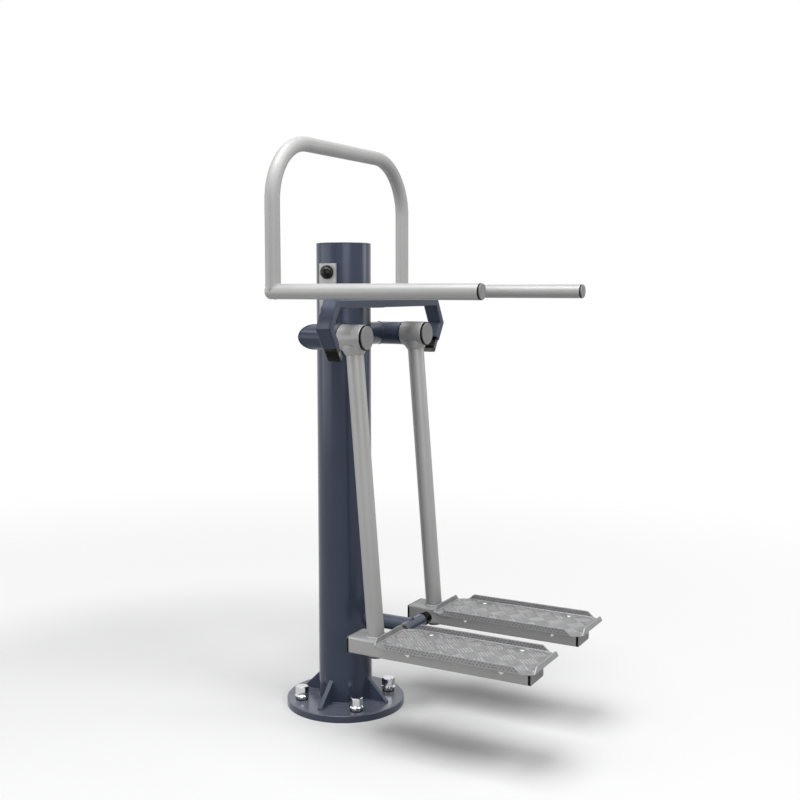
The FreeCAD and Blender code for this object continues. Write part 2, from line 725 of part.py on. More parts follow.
def tread_fixings(side, sign):
    """Cleats welded to the beam's sides, and the bolts and nuts that hold the tray on them."""
    top = dim["beam_top"]
    low = top - dim["cleat_thickness"]
    start = dim["beam_width"] / 2 + dim["weld_gap"]
    cleats, bolts = [], []
    for x, y in tread_bolt_places(sign):
        outward = 1 if x.number * sign > dim["pivot_x"].number else -1
        middle = sign * dim["pivot_x"] + sign * outward * (start + dim["cleat_reach"] / 2)
        tab = box(dim["cleat_reach"], dim["cleat_length"], dim["cleat_thickness"], (middle, y, low))
        hole = cylinder(dim["tread_hole_radius"], dim["cleat_thickness"], (x, y, low))
        cleats.append(cut(tab, hole))
        bolts.extend(tread_bolt(x, y, low))
    node(f"{side}_tread_cleats", group(cleats))
    node(f"{side}_tread_bolts", group(bolts))


def tread_bolt(x, y, low):
    """A round-headed bolt down through the tray and a cleat, and its nut below."""
    seat = dim["beam_top"] + dim["tread_thickness"]
    foot = low - dim["tread_nut_height"] - dim["tread_bolt_tail"]
    shank = cylinder(dim["tread_bolt_radius"], seat - foot, (x, y, foot))
    tall = dim["tread_head_height"]
    head = rounded_rod(dim["tread_head_radius"], tall, dim["tread_head_round"], (x, y, seat))
    seat_low = (x, y, low - dim["tread_nut_height"])
    nut = cut(
        hexagon(dim["tread_nut_flats"], dim["tread_nut_height"], seat_low),
        cylinder(dim["tread_bolt_radius"] + dim["weld_gap"], dim["tread_nut_height"], seat_low),
    )
    return fuse(shank, head), nut


def bracket_end():
    """The middle of the left leg's open end, in X and Z."""
    reach = dim["bracket_leg"]
    x = dim["bracket_bend_x"] - reach * sine(dim["bracket_lean"])
    z = dim["bracket_bend_z"] - reach * cosine(dim["bracket_lean"])
    return x, z


def outer_stop():
    """A gull-shaped rectangular tube on a stem from the post, with a rubber bumper in each open end."""
    end_x, end_z = bracket_end()
    body = doc.addObject("PartDesign::Body", "Bracket")
    route = new_sketch(body, "XZ_Plane")
    bend = (dim["bracket_bend_x"], dim["bracket_bend_z"])
    half = [(end_x, end_z), bend, (dim["bracket_shoulder"], dim["bracket_z"])]
    draw_lines(route, [(-x, z) for x, z in half] + half[::-1], closed=False)
    profile = new_sketch(body, "XY_Plane")
    lean = -dim["bracket_lean"]
    spot = FreeCAD.Vector(-end_x.number, 0, end_z.number)
    profile.AttachmentOffset = FreeCAD.Placement(spot, FreeCAD.Rotation(Y_AXIS, lean.number))
    bind(profile, "AttachmentOffset.Base.x", -end_x)
    bind(profile, "AttachmentOffset.Base.z", end_z)
    bind(profile, "AttachmentOffset.Rotation.Angle", lean)
    wall = dim["bracket_wall"]
    thickness, depth, corner = dim["bracket_thickness"], dim["bracket_depth"], dim["bracket_corner"]
    draw_rectangle(profile, thickness, depth, corner)
    draw_rectangle(profile, thickness - 2 * wall, depth - 2 * wall, corner - wall)
    doc.recompute()
    sweep = body.newObject("PartDesign::AdditivePipe", "Sweep")
    sweep.Profile = profile
    sweep.Spine = (route, [f"Edge{n}" for n in range(1, route.GeometryCount + 1)])
    sweep.Transition = "Right corner"
    place(body, (0, -dim["bracket_y"], 0))
    node("outer_stop_bracket", body)

    rear = dim["bracket_y"] - depth / 2
    stem = box(dim["bracket_stem_width"], rear, thickness, (0, -rear / 2, dim["bracket_z"] - thickness / 2))
    post_space = cylinder(dim["post_radius"] + dim["weld_gap"], 2 * dim["bracket_z"])
    node("outer_stop_stem", cut(stem, post_space))
    for side, sign in SIDES.items():
        outer_bumper(side, sign)


def outer_bumper(side, sign):
    """A rubber block with rounded end edges, plugged into the bracket's open end."""
    end_x, end_z = bracket_end()
    inset = dim["bracket_wall"] + dim["weld_gap"]
    thickness, depth, corner = dim["bracket_thickness"], dim["bracket_depth"], dim["bracket_corner"]
    body = doc.addObject("PartDesign::Body", "Bumper")
    profile = new_sketch(body, "XY_Plane")
    draw_rectangle(profile, thickness, depth, corner)
    block = pad(body, profile, dim["bumper_length"])
    block.Reversed = True
    doc.recompute()
    edge = body.newObject("PartDesign::Fillet", "Round")
    edge.Base = (block, rim(block.Shape, -dim["bumper_length"].number))
    bind(edge, "Radius", dim["bumper_round"])
    root = new_sketch(body, "XY_Plane")
    draw_rectangle(root, thickness - 2 * inset, depth - 2 * inset, corner - inset)
    pad(body, root, dim["bumper_plug"])
    place(body, (sign * end_x, -dim["bracket_y"], end_z))
    turn(body, Y_AXIS, sign * dim["bracket_lean"])
    node(f"{side}_outer_bumper", body)


def stop_reach():
    """How far forward the inner stop's bar lies: just behind the trays."""
    return tread_rear() - dim["stop_gap"] - dim["stop_bar_radius"]


def inner_stop():
    """A stem from the post to a short cross bar, with a rubber bumper towards each foot beam."""
    y, z = -stop_reach(), dim["beam_top"] - dim["stop_drop"]
    stem_bore = dim["stop_stem_radius"] - dim["stop_stem_wall"]
    stem = ring(dim["stop_stem_radius"], stem_bore, stop_reach(), (0, 0, z), "-Y")
    half, radius = dim["stop_bar_half"], dim["stop_bar_radius"]
    bar_space = cylinder(radius + dim["weld_gap"], 2 * half, (-half, y, z), "X")
    post_space = cylinder(dim["post_radius"] + dim["weld_gap"], 2 * z)
    node("inner_stop_stem", cut(stem, bar_space, post_space))
    bore = radius - dim["stop_bar_wall"]
    node("inner_stop_bar", ring(radius, bore, 2 * half, (-half, y, z), "X"))
    for side, sign in SIDES.items():
        outward, inward = ("X", "-X") if sign > 0 else ("-X", "X")
        seat = (sign * half, y, z)
        block = rounded_rod(radius, dim["stop_bumper"], dim["stop_bumper_round"], seat, outward)
        plug = cylinder(bore - dim["weld_gap"], dim["stop_bumper_plug"], seat, inward)
        node(f"{side}_inner_bumper", fuse(block, plug))


def handlebar(side, sign):
    """A straight tube closed at the rear, where the hoop's leg lands on it."""
    x, z = sign * dim["bar_x"], dim["bar_z"]
    length = dim["bar_rear"] + dim["bar_front"]
    rod = rounded_rod(dim["bar_radius"], length, dim["bar_edge"], (x, -dim["bar_front"], z), "Y")
    bore_radius, depth = dim["bar_radius"] - dim["bar_wall"], length - dim["bar_end_wall"]
    node(f"{side}_handlebar", cut(rod, cylinder(bore_radius, depth, (x, -dim["bar_front"], z), "Y")))


def bar_space(sign, radius):
    length = dim["bar_rear"] + dim["bar_front"]
    return cylinder(radius, length, (sign * dim["bar_x"], -dim["bar_front"], dim["bar_z"]), "Y")


def bar_ends():
    """A black plug with a lip, and a flat cap on it, in the front end of each handlebar."""
    plugs, caps = [], []
    for sign in SIDES.values():
        x, z = sign * dim["bar_x"], dim["bar_z"]
        stem_radius = dim["bar_radius"] - dim["bar_wall"] - dim["weld_gap"]
        stem = cylinder(stem_radius, dim["bar_plug"], (x, -dim["bar_front"], z), "Y")
        lip = cylinder(dim["bar_radius"], dim["bar_seal"], (x, -dim["bar_front"], z), "-Y")
        plugs.append(fuse(stem, lip))
        cap_radius = dim["bar_radius"] - dim["bar_cap_inset"]
        seat = (x, -dim["bar_front"] - dim["bar_seal"], z)
        caps.append(rounded_rod(cap_radius, dim["bar_cap"], dim["bar_cap"] / 4, seat, "-Y"))
    node("handle_end_plugs", group(plugs))
    node("handle_end_caps", group(caps))


def handle_hoop():
    """A bent tube over the post. Its two legs are coped onto the handlebars."""
    x, low, top, bend = dim["bar_x"], dim["bar_z"], dim["hoop_top"], dim["hoop_bend"]
    body = doc.addObject("PartDesign::Body", "Hoop")
    route = new_sketch(body, "XZ_Plane")
    stretches = (
        ((x, low), (x, top - bend)),
        ((x - bend, top), (bend - x, top)),
        ((-x, top - bend), (-x, low)),
    )
    for start, end in stretches:
        index = route.addGeometry(Part.LineSegment(vector(start), vector(end)))
        fix_point(route, index, 1, start)
        fix_point(route, index, 2, end)
    draw_arc(route, (x - bend, top - bend), 0, 90, bend, (0, 2), (1, 1))
    draw_arc(route, (bend - x, top - bend), 90, 180, bend, (1, 2), (2, 1))
    profile = new_sketch(body, "XY_Plane")
    profile.AttachmentOffset = FreeCAD.Placement(FreeCAD.Vector(x.number, 0, low.number), FreeCAD.Rotation())
    bind(profile, "AttachmentOffset.Base.x", x)
    bind(profile, "AttachmentOffset.Base.z", low)
    draw_circle(profile, dim["bar_radius"])
    draw_circle(profile, dim["bar_radius"] - dim["bar_wall"])
    doc.recompute()
    sweep = body.newObject("PartDesign::AdditivePipe", "Sweep")
    sweep.Profile = profile
    sweep.Spine = (route, [f"Edge{n}" for n in range(1, route.GeometryCount + 1)])
    spaces = [bar_space(sign, dim["bar_radius"] + dim["weld_gap"]) for sign in SIDES.values()]
    node("handle_hoop", cut(body, *spaces))


def handle_bolt_heights():
    return [dim["bar_z"] + dim["handle_bolt_pitch"] * half for half in (-0.5, 0.5)]


def handle_bolt_holes():
    """Rods along X that drill the post, the pads and the plates for the handle bolts."""
    half = dim["bar_x"]
    heights = handle_bolt_heights()
    return [cylinder(dim["handle_hole_radius"], 2 * half, (-half, 0, height), "X") for height in heights]


def plate_seat():
    """How far from the post's axis the mounting plates lie on their pads."""
    return dim["post_radius"] + dim["pad_thickness"]


def handle_mount(side, sign):
    """A plate bolted to the post's side, and the stub that joins it to the handlebar and the hoop's leg."""
    tall, thick = dim["plate_height"], dim["plate_thickness"]
    low = dim["bar_z"] - tall / 2
    plate = box(thick, dim["plate_width"], tall, (sign * (plate_seat() + thick / 2), 0, low))
    node(f"{side}_mount_plate", cut(plate, *handle_bolt_holes()))
    face, reach = plate_seat() + thick, dim["bar_x"]
    outward = "X" if sign > 0 else "-X"
    radius = dim["handle_stub_radius"]
    bore = radius - dim["handle_stub_wall"]
    stub = ring(radius, bore, reach - face, (sign * face, 0, dim["bar_z"]), outward)
    coped = dim["bar_radius"] + dim["weld_gap"]
    leg_space = cylinder(coped, dim["hoop_bend"], (sign * reach, 0, dim["bar_z"]))
    node(f"{side}_handle_stub", cut(stub, bar_space(sign, coped), leg_space))


def post_pads():
    """Saddles welded to the post's sides, flat outside, drilled for the handle bolts."""
    tall = dim["plate_height"]
    low = dim["bar_z"] - tall / 2
    pads = []
    for sign in SIDES.values():
        block = box(plate_seat(), dim["plate_width"], tall, (sign * plate_seat() / 2, 0, low))
        post_space = cylinder(dim["post_radius"] + dim["weld_gap"], 2 * dim["bar_z"])
        pads.append(cut(block, post_space, *handle_bolt_holes()))
    node("post_pads", group(pads))


def handle_bolts():
    """Bolts through the plates, pads and post wall, with the domed covers over their heads."""
    bolts, covers = [], []
    face = plate_seat() + dim["plate_thickness"]
    for sign in SIDES.values():
        outward, inward = ("X", "-X") if sign > 0 else ("-X", "X")
        for height in handle_bolt_heights():
            seat = (sign * face, 0, height)
            under_head = (sign * (face + dim["handle_washer_thickness"]), 0, height)
            reach = dim["plate_thickness"] + dim["pad_thickness"] + dim["handle_bolt_reach"]
            bolts.append(fuse(
                cylinder(dim["handle_bolt_radius"], reach, seat, inward),
                cylinder(dim["handle_washer_radius"], dim["handle_washer_thickness"], seat, outward),
                hexagon(dim["handle_head_flats"], dim["handle_head_height"], under_head, outward),
            ))
            covers.append(bolt_cover(seat, sign, outward))
    node("handle_bolts", group(bolts))
    node("bolt_covers", group(covers))


def bolt_cover(seat, sign, outward):
    """A hollow dome on a short skirt, snapped over a bolt head."""
    radius, skirt = dim["cover_radius"], dim["cover_skirt"]
    dome = doc.addObject("Part::Sphere", "Dome")
    dome.Angle1 = 0
    bind(dome, "Radius", radius)
    place(dome, (seat[0] + sign * skirt, seat[1], seat[2]), outward)
    depth = dim["handle_washer_thickness"] + dim["handle_head_height"] + dim["weld_gap"]
    hollow = cylinder(radius - dim["cover_wall"], depth, seat, outward)
    return cut(fuse(dome, cylinder(radius, skirt, seat, outward)), hollow)


def build():
    base_flange()
    base_gussets()
    post()
    anchor_fixings()
    pivot_carrier()
    outer_stop()
    inner_stop()
    handle_hoop()
    bar_ends()
    post_pads()
    handle_bolts()
    for side, sign in SIDES.items():
        pivot_axle(side, sign)
        hub(side, sign)
        swing_arm(side, sign)
        foot_beam(side, sign)
        tread_tray(side, sign)
        tread_fixings(side, sign)
        handlebar(side, sign)
        handle_mount(side, sign)


def export():
    """Check every object, then write one file per sub-part."""
    doc.recompute()
    for thing in doc.Objects:
        if "Invalid" in thing.State or "Error" in thing.State:
            raise RuntimeError(f"{thing.Label} did not build: {thing.State}")
    os.makedirs("parts", exist_ok=True)
    for thing in nodes:
        if thing.Shape.isNull() or not thing.Shape.isValid():
            raise RuntimeError(f"{thing.Label} has no valid shape")
        thing.Shape.exportStep(f"parts/{thing.Label}.step")
        print(f"{thing.Label}: {len(thing.Shape.Solids)} solids, {thing.Shape.Volume / 1000:.1f} cm3")


doc = FreeCAD.newDocument("adductor_station")
nodes = []
dim = make_sheet()
build()
export()
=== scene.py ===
import json
import math

import bmesh
import bpy
from mathutils import Matrix, Vector


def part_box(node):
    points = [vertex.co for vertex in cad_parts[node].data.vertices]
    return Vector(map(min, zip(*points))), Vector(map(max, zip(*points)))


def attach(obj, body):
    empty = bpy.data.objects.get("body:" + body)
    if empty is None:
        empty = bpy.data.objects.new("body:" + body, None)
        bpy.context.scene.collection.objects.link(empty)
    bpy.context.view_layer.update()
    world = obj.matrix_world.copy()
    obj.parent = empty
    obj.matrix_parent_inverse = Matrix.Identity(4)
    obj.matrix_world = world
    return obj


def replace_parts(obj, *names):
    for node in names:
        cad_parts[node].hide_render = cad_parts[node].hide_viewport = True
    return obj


# Outdoor adductor and abductor station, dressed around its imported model. Metres, +Z up.

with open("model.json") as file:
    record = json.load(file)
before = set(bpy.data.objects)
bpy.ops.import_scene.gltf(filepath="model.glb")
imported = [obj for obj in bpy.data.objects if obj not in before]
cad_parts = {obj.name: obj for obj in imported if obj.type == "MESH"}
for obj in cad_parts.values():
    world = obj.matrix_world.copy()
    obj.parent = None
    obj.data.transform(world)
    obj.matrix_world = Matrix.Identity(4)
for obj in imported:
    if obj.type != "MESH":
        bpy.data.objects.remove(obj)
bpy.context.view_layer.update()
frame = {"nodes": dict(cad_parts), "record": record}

SIDES = {"left": -1, "right": 1}

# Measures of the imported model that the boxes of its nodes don't give.
ARM_LEAN = math.radians(4.73)
ARM_RADIUS = 0.0212
HUB_MIDDLE = 0.1243  # from the post's axis to the middle of a hub, along -Y
RIB_HALF = 0.006  # half the thickness of a gusset
BRACKET_LEAN = math.radians(31.8)
BRACKET_END = Vector((0.25497, -0.123, 0.96102))  # middle of the outer stop's right end
TREAD_THICKNESS = 0.003
BOLT_HEAD = 0.0075  # half the width of a tread bolt's head

# The smooth skin over the neck between hub and arm.
NECK = (  # depth under the hub's middle, half width and half length
    (0.0150, 0.0280, 0.0298), (0.0180, 0.0273, 0.0298), (0.0210, 0.0268, 0.0298),
    (0.0240, 0.0265, 0.0297), (0.0270, 0.02625, 0.0296), (0.0295, 0.0259, 0.0290),
    (0.0320, 0.02525, 0.0276), (0.0345, 0.0245, 0.0262), (0.0370, 0.0238, 0.0247),
    (0.0390, 0.0233, 0.0236), (0.0402, 0.0230, 0.0230), (0.0410, 0.0224, 0.0224),
    (0.0414, 0.0213, 0.0213),
)
NECK_LEVELS = (0, 0.12, 0.24, 0.36, 0.48, 0.6, 0.72, 0.82, 0.9, 0.95, 1)  # shares of the way down
NECK_CORNER = 0.0242
NECK_MOUTH = 0.024  # depth of the outline that is fitted to the hub
NECK_SINK = 0.0015  # how far the skin goes into the hub
NECK_SKIN = 0.0012  # its thickness

# Weld seams.
WELD_STEP = 0.0013  # between two points of a seam
WELD_RIPPLE = 0.0046  # between two ripples
WELD_SWELL = 0.16  # height of a ripple, as a share of the bead's radius
BEAD_SIDES = 8
RING_SEAMS = {  # length of the path, about, and radius of the bead
    "cross_tube": (0.20, 0.0026), "mitre": (0.23, 0.0015),
    "inner_stem": (0.125, 0.0026), "inner_bar": (0.15, 0.0030),
    "hoop_leg": (0.14, 0.0011), "stub_root": (0.12, 0.0020), "stub_foot": (0.106, 0.0024),
    "arm_over_beam": (0.134, 0.0038), "arm_under_beam": (0.134, 0.0020),
}
POST_FOOT_BEAD = 0.0032
RIB_BEAD = 0.0022
RIB_BEAD_OUT = 0.0006  # from the rib's face to the middle of its bead
RIB_BEAD_STOP = 0.004  # from the end of the bead to the rib's tip
STOP_ROOT_BEAD = 0.0024
STOP_END_BEAD = 0.0020
STOP_ARC_STEPS = 46

# Raised bars on the trays' floors, and studs on their lips.
TREAD_GROUP = 0.0375  # side of a group of five bars
TREAD_REACH = 9  # groups on each side of the tray's middle
TREAD_INSET = 0.007  # from the tray's outline to the bars
BAR_LENGTH, BAR_WIDTH, BAR_HEIGHT = 0.80 * TREAD_GROUP, 0.0040, 0.0015
BAR_SHORTEST = 0.008
BOLT_GAP = 0.006  # from a bolt's axis to the end of a bar
STUD_SIZE = (0.0052, 0.0026, 0.0006)
STUD_COUNT = 36  # in a row
STUD_MARGIN = 0.0375  # from the ends of the lip
STUD_FIRST, STUD_RISE = 0.0042, 0.0056  # the lower row's height, and the next one's above it
LENS_RINGS = ((1.0, -0.25), (0.9, 0.55), (0.6, 1.0))  # share of the outline, share of the height
LENS_SIDES = 10

# Rubber of the two stops.
PLUG = (  # depth past the tube's end, and inset, of the outer stop's plug
    (-0.006, 0), (0.0362, 0), (0.0376, 0.0003), (0.0388, 0.0010), (0.0396, 0.0020), (0.0398, 0.0030),
)
PLUG_X, PLUG_Y, PLUG_CORNER = 0.0085, 0.0185, 0.0045  # half sizes and corner radius
PLUG_CUT = 0.28  # slope of its end, which is parallel to the arm at the limit
PLUG_SHEEN_SIDE = -0.0178  # Y beyond which a side face is painted lighter, a painted sheen of the lit side
PLUG_STRUCK = -0.0391  # depth beyond which a face is struck by the arm; these end faces are paler grey
CAP = (  # depth past the bar's end, and radius, of the inner stop's cap
    (-0.0060, 0.0169), (-0.0056, 0.0173), (0.0212, 0.0173), (0.0230, 0.0170), (0.0245, 0.0161),
    (0.0255, 0.0148), (0.0259, 0.0130),
)
CAP_SIDES = 40

# Camera, floor and light.
CAMERA_PLACE = (-2.4178, -1.507, 1.093)  # solved from the photograph, like the angles and the lens
CAMERA_DOWN, CAMERA_TURN = 5.73, -60.98
CAMERA_SENSOR, CAMERA_LENS = 36, 49.5
FLOOR_HALF = 60
FLOOR_SHOWN = (0.90, 0.90, 0.903, 1)
FLOOR_BOUNCE = (0.34, 0.34, 0.345, 1)
FADE_MIDDLE = (-0.2, 0.25, 0)
FADES = ((0.7, 1.35, 0.75), (1.1, 3.5, 0.25))  # start, end and share of white
SKY_LIGHT, SKY_SHOWN = 0.06, 1.0
LAMP_TARGET = Vector((0, -0.15, 0.75))
LAMPS = (  # name, azimuth from +X towards +Y, distance, height, size and energy
    ("overhead", 182, 0.9, 4.0, (2.1, 2.1), 115),
    ("user_side", 268, 2.7, 3.8, (1.7, 1.7), 48),
    ("front", 224, 4.0, 1.5, (2.0, 1.3), 28),
    ("right", 311, 4.0, 1.5, (1.4, 1.2), 20),
    ("left", 130, 4.0, 1.1, (3.8, 1.7), 40),
    ("left_high", 138, 2.7, 3.3, (0.8, 0.8), 8),
)


class Surface:
    """A node material around one Principled shader, in the object's own coordinates."""

    def __init__(self, name):
        self.material = bpy.data.materials.new(name)
        self.material.use_nodes = True
        self.tree = self.material.node_tree
        self.shader = self.tree.nodes["Principled BSDF"]
        self.place = self.node("ShaderNodeTexCoord").outputs["Object"]

    def node(self, kind, **settings):
        made = self.tree.nodes.new(kind)
        for key, value in settings.items():
            setattr(made, key, value)
        return made

    def link(self, source, target):
        self.tree.links.new(source, target)

    def fixed(self, **values):
        """Set constant values on the shader's own sockets."""
        for key, value in values.items():
            self.shader.inputs[key.replace("_", " ")].default_value = value

    def noise(self, scale, detail, roughness=0.5, stretch=None):
        """A cloud of values about 0.5, with features of about 1 / scale metres."""
        made = self.node("ShaderNodeTexNoise")
        made.inputs["Scale"].default_value = scale
        made.inputs["Detail"].default_value = detail
        made.inputs["Roughness"].default_value = roughness
        self.link(self.stretched(stretch) if stretch else self.place, made.inputs["Vector"])
        return made.outputs["Fac"]

    def stretched(self, stretch):
        made = self.node("ShaderNodeVectorMath", operation="MULTIPLY")
        made.inputs[1].default_value = stretch
        self.link(self.place, made.inputs[0])
        return made.outputs["Vector"]

    def patches(self, scale, detail, to_low, to_high, roughness=0.5):
        """Soft clouds that run between two values."""
        return self.remap(self.noise(scale, detail, roughness), 0.3, 0.7, to_low, to_high)

    def cells(self, scale):
        made = self.node("ShaderNodeTexVoronoi")
        made.inputs["Scale"].default_value = scale
        self.link(self.place, made.inputs["Vector"])
        return made.outputs["Distance"]

    def remap(self, value, low, high, to_low, to_high):
        made = self.node("ShaderNodeMapRange", clamp=True)
        ends = (("From Min", low), ("From Max", high), ("To Min", to_low), ("To Max", to_high))
        for key, number in ends:
            made.inputs[key].default_value = number
        self.link(value, made.inputs["Value"])
        return made.outputs["Result"]

    def math(self, operation, first, second):
        made = self.node("ShaderNodeMath", operation=operation)
        for socket, value in zip(made.inputs, (first, second)):
            if isinstance(value, (int, float)):
                socket.default_value = value
            else:
                self.link(value, socket)
        return made.outputs["Value"]

    def mix(self, factor, first, second):
        """Mix two colours by a node's output; each is a colour or a node's output."""
        made = self.node("ShaderNodeMix", data_type="RGBA")
        for socket, value in ((made.inputs[6], first), (made.inputs[7], second)):
            if isinstance(value, tuple):
                socket.default_value = (*value, 1)
            else:
                self.link(value, socket)
        self.link(factor, made.inputs[0])
        return made.outputs[2]

    def edges(self, radius):
        """A mask of the sharp edges, and a normal that rounds them."""
        bevel = self.node("ShaderNodeBevel", samples=4)
        bevel.inputs["Radius"].default_value = radius
        true = self.node("ShaderNodeNewGeometry").outputs["Normal"]
        dot = self.node("ShaderNodeVectorMath", operation="DOT_PRODUCT")
        self.link(bevel.outputs["Normal"], dot.inputs[0])
        self.link(true, dot.inputs[1])
        return self.remap(dot.outputs["Value"], 0.80, 0.99, 1, 0), bevel.outputs["Normal"]

    def upward(self):
        """How far a surface faces the sky, from 0 to 1."""
        split = self.node("ShaderNodeSeparateXYZ")
        self.link(self.node("ShaderNodeNewGeometry").outputs["Normal"], split.inputs[0])
        return self.remap(split.outputs["Z"], 0.2, 1.0, 0, 1)

    def bump(self, height, distance, strength, normal=None):
        made = self.node("ShaderNodeBump")
        made.inputs["Strength"].default_value = strength
        made.inputs["Distance"].default_value = distance
        self.link(height, made.inputs["Height"])
        if normal:
            self.link(normal, made.inputs["Normal"])
        return made.outputs["Normal"]

    def finish(self, color, roughness, normal):
        self.link(color, self.shader.inputs["Base Color"])
        self.link(roughness, self.shader.inputs["Roughness"])
        self.link(normal, self.shader.inputs["Normal"])
        return self.material


def tone(color, factor):
    return tuple(channel * factor for channel in color)


def powder_coat(name, color, shine, metallic, specular, wear_and_edge_highlight, tint=(1, 1, 1), rounding=0.0016):
    """Baked powder paint: orange peel, a fine metal flake, dust on top faces that also acts as a painted
    highlight there, and paler edges that are partly wear and partly a painted edge highlight.
    """
    surface = Surface(name)
    edge, rounded = surface.edges(rounding)
    base = surface.mix(surface.patches(3.2, 4, 0, 1), tone(color, 0.93), tone(color, 1.07))
    flake = surface.remap(surface.noise(2600, 1), 0.35, 0.65, 0, 1)
    base = surface.mix(surface.math("MULTIPLY", flake, 0.1), base, tone(color, 1.9))
    # Dust on faces that look up, laid on thickly enough that it also paints the tops lighter, a painted top
    # highlight.
    film = surface.remap(surface.noise(38, 5), 0.25, 0.75, 0.12, 0.26)
    base = surface.mix(surface.math("MULTIPLY", surface.upward(), film), base, COAT_DUST_AND_TOP_HIGHLIGHT)
    # Paler edges: partly worn paint, partly a painted highlight where the rounded edges catch light.
    worn_and_lit_edges = surface.remap(surface.noise(55, 4), 0.35, 0.7, 0.0, wear_and_edge_highlight)
    base = surface.mix(surface.math("MULTIPLY", edge, worn_and_lit_edges), base, tone(color, 1.7))
    scuff = surface.remap(surface.noise(120, 5, 0.65, (1, 1, 0.08)), 0.60, 0.78, 0, 0.05)
    gloss = surface.math("ADD", surface.patches(14, 3, shine - 0.03, shine + 0.03), scuff)
    peel = surface.bump(surface.noise(420, 2), 0.00008, 0.2, rounded)
    peel = surface.bump(surface.noise(1900, 1), 0.00004, 0.2, peel)
    surface.fixed(Metallic=metallic, Specular_IOR_Level=specular, Specular_Tint=(*tint, 1))
    return surface.finish(base, gloss, peel)


def cap_plate(name, color):
    """Flat grey end plates: a matt coat with a faint brushed grain and rubbed rims."""
    surface = Surface(name)
    edge, rounded = surface.edges(0.0012)
    base = surface.mix(surface.patches(30, 4, 0, 1), tone(color, 0.95), tone(color, 1.05))
    grain = surface.noise(900, 2, 0.6, (0.06, 1, 1))
    base = surface.mix(surface.remap(grain, 0.35, 0.75, 0, 0.12), base, tone(color, 1.4))
    base = surface.mix(surface.math("MULTIPLY", edge, 0.35), base, tone(color, 1.5))
    gloss = surface.patches(60, 3, 0.46, 0.56)
    surface.fixed(Specular_IOR_Level=0.35)
    return surface.finish(base, gloss, surface.bump(grain, 0.00005, 0.4, rounded))


def tread_aluminium(name, color, shine, polish_and_highlight):
    """Rolled aluminium tread: crystalline blotches, fine rolling lines, edges made paler partly as polish
    and partly as a painted highlight, and grime.
    """
    surface = Surface(name)
    edge, rounded = surface.edges(0.0011)
    blotch = surface.patches(70, 5, 0, 1, 0.6)
    base = surface.mix(blotch, tone(color, 0.86), tone(color, 1.1))
    rolled = surface.noise(600, 2, 0.6, (1, 0.03, 1))
    base = surface.mix(surface.remap(rolled, 0.4, 0.7, 0, 0.25), base, tone(color, 1.3))
    grime = surface.remap(surface.noise(260, 4, 0.7), 0.56, 0.72, 0, 0.4)
    base = surface.mix(grime, base, tone(color, 0.45))
    # Paler edges: partly polish from wear, partly a painted highlight on the bars' edges.
    base = surface.mix(surface.math("MULTIPLY", edge, polish_and_highlight), base, BARE_METAL)
    gloss = surface.remap(blotch, 0, 1, shine - 0.06, shine + 0.06)
    gloss = surface.math("ADD", gloss, surface.math("MULTIPLY", grime, 0.4))
    pits = surface.bump(surface.noise(1500, 2), 0.00006, 0.4, rounded)
    surface.fixed(Metallic=0.5)
    return surface.finish(base, gloss, surface.bump(rolled, 0.00004, 0.3, pits))


def rubber(name, color, dust=0.0, specular=0.1):
    """Moulded rubber: smooth and shiny, with a fine pebble grain, a chalky bloom and dust on top."""
    surface = Surface(name)
    edge, rounded = surface.edges(0.0016)
    bloom = surface.remap(surface.noise(90, 5, 0.65), 0.5, 0.85, 0, 0.25)
    base = surface.mix(bloom, color, RUBBER_BLOOM)
    base = surface.mix(surface.math("MULTIPLY", edge, 0.3), base, RUBBER_EDGE)
    base = surface.mix(surface.math("MULTIPLY", surface.upward(), dust), base, RUBBER_DUST)
    gloss = surface.patches(45, 3, 0.14, 0.24)
    surface.fixed(Specular_IOR_Level=specular)
    return surface.finish(base, gloss, surface.bump(surface.cells(1100), 0.00005, 0.2, rounded))


def gloss_plastic(name, color):
    """Glossy black moulding: hairline scratches, a little dust and a faint swell."""
    surface = Surface(name)
    hairs = surface.remap(surface.noise(700, 3, 0.7, (1, 0.04, 0.5)), 0.62, 0.72, 0, 1)
    base = surface.mix(surface.math("MULTIPLY", hairs, 0.3), color, PLASTIC_SCRATCH)
    film = surface.remap(surface.noise(300, 4), 0.5, 0.8, 0, 0.12)
    base = surface.mix(surface.math("MULTIPLY", surface.upward(), film), base, PLASTIC_DUST)
    gloss = surface.patches(40, 2, 0.06, 0.11)
    gloss = surface.math("ADD", gloss, surface.math("MULTIPLY", hairs, 0.1))
    surface.fixed(Specular_IOR_Level=0.22)
    return surface.finish(base, gloss, surface.bump(surface.noise(90, 1), 0.0001, 0.2))


def plated(name, color, low, high):
    """Plated steel: smudges in the shine, fine turning lines and brighter edges."""
    surface = Surface(name)
    edge, rounded = surface.edges(0.0008)
    smudge = surface.remap(surface.noise(130, 4, 0.6), 0.3, 0.75, 0, 1)
    base = surface.mix(smudge, color, tone(color, 0.82))
    base = surface.mix(surface.math("MULTIPLY", edge, 0.5), base, PLATED_EDGE)
    gloss = surface.remap(smudge, 0, 1, low, high)
    turned = surface.noise(1800, 2, 0.5, (1, 1, 0.05))
    surface.fixed(Metallic=1.0)
    return surface.finish(base, gloss, surface.bump(turned, 0.00003, 0.25, rounded))


SLATE = (0.050, 0.062, 0.100)
SILVER = (0.42, 0.419, 0.415)
BLACK = (0.004, 0.004, 0.0042)
# Colour of the dust on the coats' tops, which also serves as a painted top highlight.
COAT_DUST_AND_TOP_HIGHLIGHT = (0.40, 0.41, 0.44)
BARE_METAL = (0.80, 0.80, 0.81)
RUBBER_BLOOM = (0.018, 0.018, 0.019)
RUBBER_EDGE = (0.04, 0.04, 0.042)
RUBBER_DUST = (0.36, 0.36, 0.36)
PLASTIC_SCRATCH = (0.05, 0.05, 0.055)
PLASTIC_DUST = (0.3, 0.29, 0.27)
PLATED_EDGE = (0.85, 0.85, 0.86)
